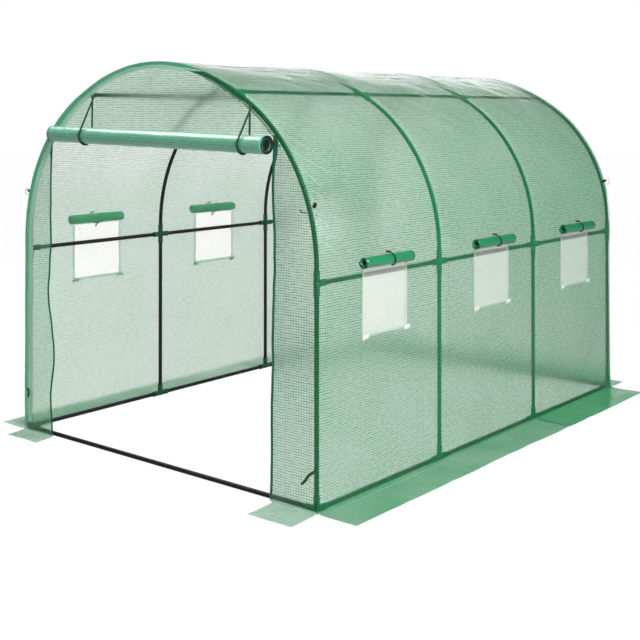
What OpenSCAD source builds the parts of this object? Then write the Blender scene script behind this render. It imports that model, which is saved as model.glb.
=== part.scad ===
// Walk-in polytunnel greenhouse: four bent tube hoops, straight rails held in plastic sockets,
// and a sheet cover with a rolled-up door, six screened windows and ground flaps.
// Millimetres, +Z up, the door end faces -Y, the origin is on the ground in the middle.

/* [Frame] */
// Distance between neighbouring hoops, centre to centre
bay_pitch = 970; // [800:10:1200]
// Width between the two leg centre-lines of a hoop
frame_width = 2060; // [1800:10:2400]
// Outer diameter of every steel tube
tube_d = 22; // [16:0.5:22]
// Height of the side rails above the ground
side_rail_height = 1000; // [880:5:1100]
// How far above the side rails the hoops start to bend
spring_rise = 60; // [60:5:200]
// Bend radius of the shoulder tubes
shoulder_radius = 870; // [740:5:870]
// Angle that each shoulder tube bends through
shoulder_angle = 62; // [55:1:68]

/* [Sockets] */
// Wall of the plastic sockets
socket_wall = 3; // [2:0.5:4]
// Reach of each socket arm from its middle
socket_reach = 55; // [40:1:58]
// Play between a tube and its socket, on the radius
socket_play = 0.4; // [0.4:0.05:0.8]
// Wall of the ball in the middle of a socket, and of the rims
ball_wall = 4; // [3.5:0.5:6]
// Width of the rim at the mouth of each arm
rim_width = 7; // [3:0.5:12]

/* [Cover] */
// Thickness of the sheet as modelled
sheet_t = 2; // [1.5:0.5:3]
// Room between the sockets and the sheet
cover_gap = 0.2; // [0.1:0.05:0.3]
// Width of the ground flaps along the sides
side_flap = 215; // [120:5:300]
// Width of the ground flaps at the two ends
end_flap = 190; // [120:5:300]

/* [Door] */
// Width of the front panels beside the doorway
jamb_width = 246; // [200:2:320]
// Height of the gable sheet over the doorway, from its seam to the ridge
gable_height = 352; // [340:1:420]
// Outer radius of the rolled-up door
door_roll_r = 44; // [36:1:50]
// How much shorter the rolled-up door is than the doorway, at each end
door_roll_inset = 22; // [10:2:60]
// How far the rolled-up door sits to the right of the middle
door_roll_shift = 15; // [0:1:50]
// Angle that the rolled-up door slopes down to the right
door_roll_slope = 1.3; // [0:0.1:2]
// How far the roll's middle hangs below the seam
door_roll_drop = 30; // [10:1:40]
// Width of a zip tape
zip_width = 12; // [8:1:16]
// How far the two door ties are set out past the roof purlins
door_tie_offset = 24; // [0:2:60]
// How far the two door ties are shifted to the right
door_tie_shift = 68; // [0:2:100]
// How far below the roof purlin the door ties are stitched on
door_tie_drop = 40; // [30:5:80]
// Clear space between a door tie and the sheet that the roll hangs from
tie_clear = 20; // [10:1:40]

/* [Windows] */
// Width of a window opening
window_width = 330; // [250:5:420]
// Height of a window opening
window_height = 306; // [200:2:340]
// How far a window reaches above the side rail
window_lift = 37; // [20:1:45]
// How much higher the windows are on the left, where the cover is pulled up
left_window_rise = 65; // [0:5:80]
// Outer radius of a rolled-up window flap
window_roll_r = 29; // [22:1:34]
// How far a rolled-up flap reaches past its window at each end
window_roll_over = 22; // [0:2:60]
// How far a rolled-up flap lies off its window, forwards on the right and backwards on the left
window_roll_shift = 22; // [0:2:50]
// Width of the hem round a window
window_hem = 16; // [10:1:24]

/* [Small parts] */
// Thickness of the tie tapes
tie_d = 3; // [2:0.5:6]
// Width of the tie tapes
tie_width = 7; // [4:1:12]
// Step of the sheet from one turn of a roll to the next
roll_pitch = 4.5; // [4:0.5:6]
// Diameter of a toggle
toggle_d = 9; // [6:1:12]
// Length of a toggle
toggle_length = 32; // [20:1:40]
// How far a toggle is pressed into its tie
toggle_sink = 1; // [0.5:0.1:2]
// Height of the toggles on the end hoops above the start of the bend
toggle_rise = 280; // [150:10:320]

/* [Hidden] */
socket_bore = tube_d + 2 * socket_play;
socket_d = socket_bore + 2 * socket_wall;
ball_d = socket_bore + 2 * ball_wall;
// Tubes stop this far from the middle of a socket, clear of the tubes that cross them
socket_stop = tube_d / 2 + socket_wall;
// A bent tube lies along the socket's axis half way down the arm, and bends on to the stop
straight_end = (socket_stop + socket_reach) / 2;
seat_length = straight_end - socket_stop - socket_play;
rail_lift = ball_d / 2;
spring_height = side_rail_height + spring_rise;
frame_length = 3 * bay_pitch;
leg_x = frame_width / 2;
hoop_rows = [-1.5 * bay_pitch, -0.5 * bay_pitch, 0.5 * bay_pitch, 1.5 * bay_pitch];
bay_rows = [-bay_pitch, 0, bay_pitch];
// Shoulder bend: its middle, its end, the roof socket and the start of the crown bend
arch_x = leg_x - shoulder_radius;
bend_x = arch_x + shoulder_radius * cos(shoulder_angle);
bend_z = spring_height + shoulder_radius * sin(shoulder_angle);
purlin_x = bend_x - straight_end * sin(shoulder_angle);
purlin_z = bend_z + straight_end * cos(shoulder_angle);
crown_x = purlin_x - straight_end * sin(shoulder_angle);
crown_start_z = purlin_z + straight_end * cos(shoulder_angle);
crown_radius = crown_x / cos(shoulder_angle);
crown_centre_z = crown_start_z - crown_radius * sin(shoulder_angle);
// Inner and outer face of the sheet, measured from the tube centre-lines
cover_in = ball_d / 2 + cover_gap;
cover_out = cover_in + sheet_t;
wall_x = leg_x + cover_out;
end_y = frame_length / 2 + cover_in;
face_y = end_y + sheet_t;
// Doorway between the front panels, under the gable seam
door_half = wall_x - jamb_width;
door_head = crown_centre_z + crown_radius + cover_out - gable_height;
door_roll_z = door_head - door_roll_drop;
door_roll_length = 2 * (door_half - door_roll_inset);
door_tie_x = purlin_x + door_tie_offset;
door_tie_rise = purlin_z - door_tie_drop - door_roll_z;
// Window openings cross the side rail, and each rolled flap sits on its opening's upper edge
window_top = side_rail_height + window_lift;
window_sill = window_top - window_height;
window_roll_z = window_top + window_roll_r;
window_roll_length = window_width + 2 * window_roll_over;
full = 120;
tie_steps = 30;

// A straight tube that rises from the origin along +Z.
module tube(length) {
    cylinder(d = tube_d, h = length, $fn = full);
}

// A tube bent round the origin in the upright plane, from one angle to another.
module bent_tube(radius, from_angle, sweep) {
    rotate([90, 0, 0])
        rotate([0, 0, from_angle])
            rotate_extrude(angle = sweep, $fn = full)
                translate([radius, 0])
                    circle(d = tube_d, $fn = full);
}

// Leg of a hoop, from its base socket to the side-rail socket.
module leg() {
    translate([leg_x, 0, rail_lift + socket_stop])
        tube(side_rail_height - rail_lift - 2 * socket_stop);
}

// Angle that a bend goes on for inside a socket.
function seat_turn(radius) = seat_length / radius * 180 / PI;

// Shoulder tube: a short straight, then a bend that ends in the roof socket.
module shoulder() {
    translate([leg_x, 0, side_rail_height + socket_stop])
        tube(spring_height - side_rail_height - socket_stop);
    translate([arch_x, 0, spring_height])
        bent_tube(shoulder_radius, 0, shoulder_angle + seat_turn(shoulder_radius));
}

// Crown tube: one bend from roof socket to roof socket.
module crown() {
    turn = seat_turn(crown_radius);
    translate([0, 0, crown_centre_z])
        bent_tube(crown_radius, shoulder_angle - turn, 180 - 2 * shoulder_angle + 2 * turn);
}

// One hoop of five tubes at the given distance along the tunnel.
module hoop(y) {
    color("#2f4f3f")
        translate([0, y, 0]) {
            leg();
            shoulder();
            crown();
            mirror([1, 0, 0]) {
                leg();
                shoulder();
            }
        }
}

module front_hoop() { hoop(hoop_rows[0]); }
module second_hoop() { hoop(hoop_rows[1]); }
module third_hoop() { hoop(hoop_rows[2]); }
module rear_hoop() { hoop(hoop_rows[3]); }

// Directions of socket arms, as turns of +Z.
up = [0, 0, 0];
down = [180, 0, 0];
back = [-90, 0, 0];
front = [90, 0, 0];
inward = [0, -90, 0];

// Arms along the tunnel that a socket has at each of the four hoops.
function along(row) = row == 0 ? [back] : row == 3 ? [front] : [front, back];

// Hollow socket with one rimmed arm for each direction and a stop in the middle.
module socket(arms) {
    difference() {
        union() {
            sphere(d = ball_d, $fn = full);
            for (arm = arms)
                rotate(arm) {
                    cylinder(d = socket_d, h = socket_reach, $fn = full);
                    translate([0, 0, socket_reach - rim_width])
                        cylinder(d = ball_d, h = rim_width, $fn = full);
                }
        }
        for (arm = arms)
            rotate(arm)
                translate([0, 0, socket_stop])
                    cylinder(d = socket_bore, h = socket_reach, $fn = full);
    }
}

// Draws its children on the right and mirrored on the left.
module both_sides() {
    children();
    mirror([1, 0, 0])
        children();
}

module base_sockets() {
    color("#24503a")
        both_sides()
            for (row = [0 : 3])
                translate([leg_x, hoop_rows[row], rail_lift])
                    socket(concat([up], along(row), row == 0 || row == 3 ? [inward] : []));
}

module side_rail_sockets() {
    color("#24503a")
        both_sides()
            for (row = [0 : 3])
                translate([leg_x, hoop_rows[row], side_rail_height])
                    socket(concat([up, down], along(row)));
}

module purlin_sockets() {
    color("#24503a")
        both_sides()
            for (row = [0 : 3])
                translate([purlin_x, hoop_rows[row], purlin_z])
                    rotate([0, -shoulder_angle, 0])
                        socket(concat([up, down], along(row)));
}

// Three tubes in line along the tunnel, each from socket to socket.
module rail(x, z) {
    color("#2f4f3f")
        for (y = bay_rows)
            translate([x, y - bay_pitch / 2 + socket_stop, z])
                rotate([-90, 0, 0])
                    tube(bay_pitch - 2 * socket_stop);
}

// One tube across the tunnel on the ground.
module cross_rail(y) {
    color("#2f4f3f")
        translate([-leg_x + socket_stop, y, rail_lift])
            rotate([0, 90, 0])
                tube(frame_width - 2 * socket_stop);
}

module left_base_rail() { rail(-leg_x, rail_lift); }
module right_base_rail() { rail(leg_x, rail_lift); }
module front_base_rail() { cross_rail(hoop_rows[0]); }
module rear_base_rail() { cross_rail(hoop_rows[3]); }
module left_side_rail() { rail(-leg_x, side_rail_height); }
module right_side_rail() { rail(leg_x, side_rail_height); }
module left_purlin() { rail(-purlin_x, purlin_z); }
module right_purlin() { rail(purlin_x, purlin_z); }

// Flat wedge from the origin between two angles, long enough to pass the given radius.
module wedge(radius, from_angle, to_angle) {
    polygon([
        [0, 0],
        [2 * radius * cos(from_angle), 2 * radius * sin(from_angle)],
        [2 * radius * cos(to_angle), 2 * radius * sin(to_angle)]
    ]);
}

// Section of the sheet round a bend.
module sheet_bend(radius, from_angle, to_angle) {
    intersection() {
        difference() {
            circle(r = radius + cover_out, $fn = full);
            circle(r = radius + cover_in, $fn = full);
        }
        wedge(radius + cover_out, from_angle, to_angle);
    }
}

// Section of the sheet over the straight part of a hoop at a roof socket.
module sheet_straight() {
    translate([bend_x, bend_z])
        rotate(shoulder_angle)
            translate([cover_in, 0])
                square([sheet_t, 2 * straight_end]);
}

// Turns a section of the hoop plane into a sheet along the whole tunnel.
module along_tunnel() {
    rotate([90, 0, 0])
        linear_extrude(height = 2 * end_y, center = true)
            children();
}

// Space of the three window openings in the sheet, on the right.
module window_openings(rise) {
    for (y = bay_rows)
        translate([wall_x - 2 * sheet_t, y - window_width / 2, window_sill + rise])
            cube([3 * sheet_t, window_width, window_height]);
}

// Upright side sheet with three window openings, on the right.
module wall_cover(rise) {
    color("#9fc6ac")
        difference() {
            translate([wall_x - sheet_t, -end_y, 0])
                cube([sheet_t, 2 * end_y, spring_height]);
            window_openings(rise);
        }
}

// Lower half of the shoulder sheet; a window that is set higher reaches a little way into it.
module lower_roof_cover(rise) {
    color("#9fc6ac")
        difference() {
            along_tunnel()
                translate([arch_x, spring_height])
                    sheet_bend(shoulder_radius, 0, shoulder_angle / 2);
            if (window_top + rise > spring_height)
                window_openings(rise);
        }
}

module upper_roof_cover() {
    color("#9fc6ac")
        along_tunnel() {
            translate([arch_x, spring_height])
                sheet_bend(shoulder_radius, shoulder_angle / 2, shoulder_angle);
            sheet_straight();
        }
}

module crown_cover() {
    color("#9fc6ac")
        along_tunnel()
            translate([0, crown_centre_z])
                sheet_bend(crown_radius, shoulder_angle, 90);
}

module right_wall_cover() { wall_cover(0); }
module right_lower_roof_cover() { lower_roof_cover(0); }
module right_upper_roof_cover() { upper_roof_cover(); }
module right_crown_cover() { crown_cover(); }
module left_wall_cover() { mirror([1, 0, 0]) wall_cover(left_window_rise); }
module left_lower_roof_cover() { mirror([1, 0, 0]) lower_roof_cover(left_window_rise); }
module left_upper_roof_cover() { mirror([1, 0, 0]) upper_roof_cover(); }
module left_crown_cover() { mirror([1, 0, 0]) crown_cover(); }

// Outline of an end of the tunnel, flush with the outside of the cover.
module end_outline() {
    out_x = cover_out * cos(shoulder_angle);
    out_z = cover_out * sin(shoulder_angle);
    translate([-wall_x, 0])
        square([2 * wall_x, spring_height]);
    for (side = [-1, 1])
        translate([side * arch_x, spring_height])
            circle(r = shoulder_radius + cover_out, $fn = full);
    intersection() {
        translate([0, crown_centre_z])
            circle(r = crown_radius + cover_out, $fn = full);
        translate([-crown_x - out_x, spring_height])
            square([2 * crown_x + 2 * out_x, crown_radius]);
    }
    polygon([
        [bend_x + out_x, spring_height],
        [bend_x + out_x, bend_z + out_z],
        [crown_x + out_x, crown_start_z + out_z],
        [-crown_x - out_x, crown_start_z + out_z],
        [-bend_x - out_x, bend_z + out_z],
        [-bend_x - out_x, spring_height]
    ]);
}

// Turns an end outline into a sheet whose outer face is at the front or the rear.
module end_sheet(y) {
    translate([0, y, 0])
        rotate([90, 0, 0])
            linear_extrude(height = sheet_t)
                children();
}

module front_gable() {
    color("#a6cbb4")
        end_sheet(-end_y)
            intersection() {
                end_outline();
                translate([-wall_x, door_head])
                    square([2 * wall_x, crown_radius]);
            }
}

// Strip of front sheet between the doorway and the hoop, on the right.
module front_panel() {
    color("#a6cbb4")
        end_sheet(-end_y)
            intersection() {
                end_outline();
                translate([door_half, 0])
                    square([wall_x, door_head]);
            }
}

module front_right_panel() { front_panel(); }
module front_left_panel() { mirror([1, 0, 0]) front_panel(); }

module rear_wall() {
    color("#a6cbb4")
        end_sheet(face_y)
            end_outline();
}

// Flap that lies on the ground along the right side.
module side_ground_flap() {
    color("#7fae8d")
        translate([wall_x, -face_y, 0])
            cube([side_flap, 2 * face_y, sheet_t]);
}

module right_ground_flap() { side_ground_flap(); }
module left_ground_flap() { mirror([1, 0, 0]) side_ground_flap(); }

module front_ground_flaps() {
    color("#7fae8d")
        both_sides()
            translate([door_half, -face_y - end_flap, 0])
                cube([wall_x - door_half, end_flap, sheet_t]);
}

module rear_ground_flap() {
    color("#7fae8d")
        translate([-wall_x, face_y, 0])
            cube([2 * wall_x, end_flap, sheet_t]);
}

// Section of a sheet rolled up from its free end; it hangs down on the side of +X.
module roll_section(radius, turns) {
    steps = round(turns * 24);
    outer = [for (i = [0 : steps])
        (radius - roll_pitch * i / 24) * [cos(15 * i), -sin(15 * i)]];
    inner = [for (i = [steps : -1 : 0])
        (radius - sheet_t - roll_pitch * i / 24) * [cos(15 * i), -sin(15 * i)]];
    polygon(concat(outer, inner));
}

// Part of the sheet between a roll and the seam that it hangs from.
module roll_lead(radius, foot, rise, reach) {
    translate([radius - sheet_t, -foot])
        square([sheet_t, foot + rise]);
    translate([radius - sheet_t, rise - sheet_t])
        square([sheet_t + reach, sheet_t]);
}

// Edge of a tie at one distance from a roll's axis: round the roll, then up to a point.
function tie_edge(radius, peak, lean) = concat(
    [for (i = [0 : tie_steps]) let (a = lean + (360 - lean) * i / tie_steps) radius * [cos(a), sin(a)]],
    [[radius, peak]]
);

// Flat tie looped round a roll: up behind it, under it and back to the same stitch in front.
module tie_loop(roll_r, rise) {
    outer = roll_r + tie_d;
    inner = roll_r / cos(180 / tie_steps);
    lean = 2 * atan2(rise, outer);
    translate([0, 0, -tie_width / 2])
        linear_extrude(height = tie_width)
            difference() {
                polygon(tie_edge(outer, rise, lean));
                polygon(tie_edge(inner, rise * inner / outer, lean));
            }
}

// Places a roll in front of the front sheet, its axis across the tunnel and sloped down to the right.
module at_door(slope) {
    translate([0, -face_y - tie_d - door_roll_r, door_roll_z])
        rotate([0, slope, 0])
            rotate([90, 0, 90])
                children();
}

module door_roll() {
    lead_length = 2 * (door_tie_x - tie_clear);
    color("#7fb29f") {
        at_door(door_roll_slope)
            translate([0, 0, door_roll_shift - door_roll_length / 2])
                linear_extrude(height = door_roll_length)
                    roll_section(door_roll_r, 3);
        at_door(0)
            translate([0, 0, door_tie_shift - lead_length / 2])
                linear_extrude(height = lead_length)
                    roll_lead(door_roll_r, lead_length / 2 * tan(door_roll_slope),
                        door_head - door_roll_z, tie_d + sheet_t);
    }
}

module door_ties() {
    color("#2c6a4a")
        for (side = [-1, 1])
            at_door(door_roll_slope)
                translate([0, 0, door_tie_shift + side * door_tie_x])
                    tie_loop(door_roll_r, door_tie_rise);
}

module door_zips() {
    color("#3d6b57")
        both_sides()
            end_sheet(-face_y)
                intersection() {
                    end_outline();
                    translate([door_half, sheet_t])
                        square([zip_width, door_head - sheet_t]);
                }
}

// Pale net that fills each window opening on the right.
module window_screens(rise) {
    color("#e2e8e1")
        for (y = bay_rows)
            translate([wall_x - sheet_t, y - window_width / 2, window_sill + rise])
                cube([sheet_t, window_width, window_height]);
}

// Hem along the sides and foot of each window, with a tab under each lower corner.
module window_hems(rise) {
    wide = window_width + 2 * window_hem;
    color("#cfdcd2")
        for (y = bay_rows)
            translate([wall_x, y - wide / 2, window_sill + rise - window_hem])
                difference() {
                    union() {
                        cube([sheet_t, wide, window_height]);
                        for (step = [0, wide - 2 * window_hem])
                            translate([0, step, -window_hem])
                                cube([sheet_t, 2 * window_hem, 2 * window_hem]);
                    }
                    translate([-sheet_t, window_hem, window_hem])
                        cube([3 * sheet_t, window_width, window_height]);
                }
}

// How far the bent sheet has moved in from the wall at a height above the start of the bend.
function sheet_dip(z) =
    let (r = shoulder_radius + cover_out, h = max(0, z - spring_height))
        r - sqrt(r * r - h * h);

// Places a roll in front of the right wall, its axis along the tunnel.
module at_window(y, rise) {
    roll_x = wall_x - sheet_dip(window_roll_z + rise) + tie_d + window_roll_r;
    translate([roll_x, y, window_roll_z + rise])
        rotate([90, 0, 180])
            children();
}

module window_rolls(rise, shift) {
    color("#4f9c74")
        for (y = bay_rows)
            at_window(y, rise) {
                translate([0, 0, shift - window_roll_length / 2])
                    linear_extrude(height = window_roll_length)
                        roll_section(window_roll_r, 2.5);
                for (side = [-1, 1]) {
                    lead_length = window_roll_length / 2 + side * shift - tie_clear;
                    translate([0, 0, side * (tie_clear + lead_length / 2)])
                        linear_extrude(height = lead_length, center = true)
                            roll_lead(window_roll_r, 0, sheet_t, tie_d);
                }
            }
}

// Loop and toggle that hold up each rolled window flap.
module window_ties(rise) {
    reach = window_roll_r + tie_d + toggle_d / 2 - toggle_sink;
    color("#1c2420")
        for (y = bay_rows)
            at_window(y, rise) {
                tie_loop(window_roll_r, window_roll_r);
                translate([-reach, 0, -toggle_length / 2])
                    cylinder(d = toggle_d, h = toggle_length, $fn = full);
            }
}

module right_window_screens() { window_screens(0); }
module left_window_screens() { mirror([1, 0, 0]) window_screens(left_window_rise); }
module right_window_hems() { window_hems(0); }
module left_window_hems() { mirror([1, 0, 0]) window_hems(left_window_rise); }
module right_window_rolls() { window_rolls(0, -window_roll_shift); }
module left_window_rolls() { mirror([1, 0, 0]) window_rolls(left_window_rise, window_roll_shift); }
module right_window_ties() { window_ties(0); }
module left_window_ties() { mirror([1, 0, 0]) window_ties(left_window_rise); }

// Toggles that tie the end sheets to the end hoops.
module end_toggles() {
    toggle_x = arch_x + sqrt(pow(shoulder_radius, 2) - pow(toggle_rise, 2));
    toggle_z = spring_height + toggle_rise - toggle_length / 2;
    color("#1c2420")
        both_sides()
            for (side = [-1, 1])
                translate([toggle_x, side * (face_y + toggle_d / 2), toggle_z])
                    cylinder(d = toggle_d, h = toggle_length, $fn = full);
}

front_hoop();
second_hoop();
third_hoop();
rear_hoop();
base_sockets();
side_rail_sockets();
purlin_sockets();
left_base_rail();
right_base_rail();
front_base_rail();
rear_base_rail();
left_side_rail();
right_side_rail();
left_purlin();
right_purlin();
left_wall_cover();
left_lower_roof_cover();
left_upper_roof_cover();
left_crown_cover();
right_crown_cover();
right_upper_roof_cover();
right_lower_roof_cover();
right_wall_cover();
front_gable();
front_left_panel();
front_right_panel();
rear_wall();
left_ground_flap();
right_ground_flap();
front_ground_flaps();
rear_ground_flap();
door_roll();
door_ties();
door_zips();
left_window_screens();
right_window_screens();
left_window_hems();
right_window_hems();
left_window_rolls();
right_window_rolls();
left_window_ties();
right_window_ties();
end_toggles();
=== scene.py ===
# %% [markdown]
# # A polytunnel greenhouse
# A walk-in garden tunnel: four bent steel hoops, rails that push into plastic sockets, and one
# translucent green cover with a rolled-up door, six windows and flaps that lie on the ground.
# The imported part is the fixed frame. Its tubes and sockets stay and get finishes, and
# every sheet, roll and tie is made again as the soft thing it is.

# %% Load the imported frame
import bmesh
import bpy
import numpy as np
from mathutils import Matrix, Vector


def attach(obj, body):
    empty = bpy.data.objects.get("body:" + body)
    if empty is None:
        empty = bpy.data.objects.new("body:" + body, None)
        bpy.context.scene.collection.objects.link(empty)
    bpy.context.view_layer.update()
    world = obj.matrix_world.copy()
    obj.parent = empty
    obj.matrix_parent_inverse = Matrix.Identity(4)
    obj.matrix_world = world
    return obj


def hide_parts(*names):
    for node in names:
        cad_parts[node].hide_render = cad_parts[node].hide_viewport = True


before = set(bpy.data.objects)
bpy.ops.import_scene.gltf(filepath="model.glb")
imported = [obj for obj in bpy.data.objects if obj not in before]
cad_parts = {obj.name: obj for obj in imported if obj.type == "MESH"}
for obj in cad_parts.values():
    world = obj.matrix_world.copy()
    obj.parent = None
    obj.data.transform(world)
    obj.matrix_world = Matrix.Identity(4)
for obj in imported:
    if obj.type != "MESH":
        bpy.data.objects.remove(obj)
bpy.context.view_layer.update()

# %% [markdown]
# ## Camera
# The photograph was taken from the front right with upright lines kept upright, which a shop camera
# does by keeping level and sliding its lens down. The shift below does the same. The distance, angle
# and focal length come from points on the hoops, rails and base that were measured in the picture.

# %% Camera
PHOTO_PIXELS, FOCAL_PIXELS, SENSOR_MM = 640, 1117.7, 36.0


def look_from(azimuth, elevation, distance, target, lens, shift):
    """Camera on a circle round the target: azimuth 0 stands at -Y, elevation is above the horizon."""
    a, e = np.radians([azimuth, elevation])
    away = Vector((np.sin(a) * np.cos(e), -np.cos(a) * np.cos(e), np.sin(e)))
    data = bpy.data.cameras.new("photo_camera")
    data.sensor_width, data.lens, data.shift_y = SENSOR_MM, lens, shift
    camera = bpy.data.objects.new("photo_camera", data)
    camera.location = Vector(target) + away * distance
    camera.rotation_euler = away.to_track_quat("Z", "Y").to_euler()
    bpy.context.scene.collection.objects.link(camera)
    return camera


bpy.context.scene.camera = look_from(
    azimuth=39.38, elevation=-0.63, distance=6.772, target=(-0.145, 0.0, 1.811),
    lens=FOCAL_PIXELS * SENSOR_MM / PHOTO_PIXELS, shift=-0.339)
print("camera at", np.round(bpy.context.scene.camera.location, 2).tolist())

# %% [markdown]
# ## Materials: one way to write them
# A finish is a small tree of nodes round a Principled shader. One function adds a node, sets its
# values and links its inputs, so each finish below reads as a short list from top to bottom. Colours
# are written as sRGB hex, as a paint chart gives them, and turned to linear light in one place.

# %% Colour and node helpers
ADD, SUBTRACT, MULTIPLY, MULTIPLY_ADD, MAXIMUM, ABSOLUTE, PINGPONG = (
    {"operation": name} for name in
    ("ADD", "SUBTRACT", "MULTIPLY", "MULTIPLY_ADD", "MAXIMUM", "ABSOLUTE", "PINGPONG"))
MULTIPLY_CLAMPED = {"operation": "MULTIPLY", "use_clamp": True}
SUBTRACT_CLAMPED = {"operation": "SUBTRACT", "use_clamp": True}
# A Mix node takes numbers at its inputs 2 and 3, or colours at its inputs 6 and 7
MIX_NUMBERS, MIX_COLOURS = {"data_type": "FLOAT"}, {"data_type": "RGBA"}


def colour(code):
    """Linear RGBA of an sRGB hex value: each channel over 255, then the sRGB curve undone."""
    c = np.array([int(code[i:i + 2], 16) for i in (1, 3, 5)]) / 255
    c = np.where(c <= 0.04045, c / 12.92, ((c + 0.055) / 1.055) ** 2.4)
    return (*c.tolist(), 1.0)


def finish(name):
    """A new material, its tree and its Principled shader."""
    material = bpy.data.materials.new(name)
    material.use_nodes = True
    tree = material.node_tree
    return material, tree, tree.nodes["Principled BSDF"]


def wire(tree, n, **inputs):
    """Sets a node's inputs or links them from output sockets: by number (i0, i1), or by name with _ for
    a space."""
    for key, value in inputs.items():
        by_number = key[0] == "i" and key[1:].isdigit()
        plug = n.inputs[int(key[1:]) if by_number else key.replace("_", " ")]
        if isinstance(value, bpy.types.NodeSocket):
            tree.links.new(value, plug)
        else:
            plug.default_value = value


def node(tree, kind, settings=None, give=0, **inputs):
    """Adds one node and gives back one of its output sockets, or the node itself where give is None.
    settings are its own properties, and inputs go to wire."""
    n = tree.nodes.new("ShaderNode" + kind)
    for key, value in (settings or {}).items():
        setattr(n, key, value)
    wire(tree, n, **inputs)
    return n if give is None else n.outputs[give]

# %% [markdown]
# ## Cover sheet
# The cover is polyethylene film with a net of green tapes pressed between two clear layers. The tapes
# carry the colour, and the film between them is pale and hazy. Haze is the main thing here: a tube
# that touches the sheet shows as a crisp green line, while the far side of the tunnel melts away.
# Rough glass does exactly that, because its blur grows with the distance behind it. A low index of
# refraction keeps the single surface from bending the view, and a clear coat gives the plastic shine.

# %% The net in the film
# Spacing of the tapes in metres, and half a tape's width as a share of the spacing
ROW_PITCH, COLUMN_PITCH, TAPE_HALF = 0.0115, 0.0150, 0.16
CLOTH = {"uv_map": "cloth"}


def net_lines(tree, flat, pitches, half, soft, strength):
    """How much tape lies at a flat place: 1 on a tape and 0 between, for lines across both directions.
    Each line is a triangle wave of the place over its pitch, cut to a soft-edged band."""
    axes = node(tree, "SeparateXYZ", give=None, i0=flat).outputs
    lines = []
    for axis in (0, 1):
        step = node(tree, "Math", MULTIPLY, i0=axes[axis], i1=1 / pitches[axis])
        wave = node(tree, "Math", PINGPONG, i0=step, i1=0.5)
        lines.append(node(tree, "MapRange", Value=wave, From_Min=half - soft, From_Max=half + soft,
                          To_Min=strength[axis], To_Max=0.0))
    return node(tree, "Math", MAXIMUM, i0=lines[0], i1=lines[1])


def film_pattern(tree):
    """What all the films share: the net with its wander and breaks, slow patches, and the relief."""
    flat = node(tree, "UVMap", CLOTH)
    on_sheet = {"noise_dimensions": "2D"}
    # The tapes wander a little, as woven ones do, and show now stronger and now fainter along their run
    drift = node(tree, "TexNoise", on_sheet, give=1, Vector=flat, Scale=16.0, Detail=2.0)
    flat = node(tree, "VectorMath", MULTIPLY_ADD, i0=drift, i1=(0.008,) * 3, i2=flat)
    net = net_lines(tree, flat, (COLUMN_PITCH, ROW_PITCH), TAPE_HALF, 0.07, (0.5, 1.0))
    long_flat = node(tree, "VectorMath", MULTIPLY, i0=flat, i1=(28.0, 90.0, 1.0))
    breaks = node(tree, "TexNoise", on_sheet, Vector=long_flat, Scale=1.0, Detail=2.0)
    breaks = node(tree, "MapRange", Value=breaks, From_Min=0.3, From_Max=0.7, To_Min=0.45, To_Max=1.15)
    net = node(tree, "Math", MULTIPLY_CLAMPED, i0=net, i1=breaks)
    place = node(tree, "TexCoord", give="Object")
    patch = node(tree, "TexNoise", Vector=place, Scale=3.0, Detail=5.0, Roughness=0.6)
    patch = node(tree, "MapRange", Value=patch, From_Min=0.3, From_Max=0.7, To_Min=0.8, To_Max=1.2)
    # Fine crackle of stiff film, and the net standing out of it
    crackle = node(tree, "TexNoise", Vector=place, Scale=40.0, Detail=3.0, Roughness=0.6)
    height = node(tree, "Math", MULTIPLY_ADD, i0=net, i1=0.12, i2=crackle)
    bump = node(tree, "Bump", Strength=0.4, Distance=0.004, Height=height)
    return net, patch, bump


print("net", ROW_PITCH * 1000, "by", COLUMN_PITCH * 1000, "mm")

# %% Cover sheet finish
BAY = 0.970
END_ROW, RAIL = 1.5 * BAY, 1.000


def evened_hide(tree, hide, axis, start, end, share_start, share_end, even_value):
    """Hide mixed towards one even value, whose share goes from one value to another between two places
    along one flat direction."""
    flat = node(tree, "SeparateXYZ", give=None, i0=node(tree, "UVMap", CLOTH)).outputs
    share = node(tree, "MapRange", Value=flat[axis], From_Min=start, From_Max=end,
                 To_Min=share_start, To_Max=share_end)
    return node(tree, "Mix", MIX_NUMBERS, i0=share, i2=hide, i3=even_value)


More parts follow.
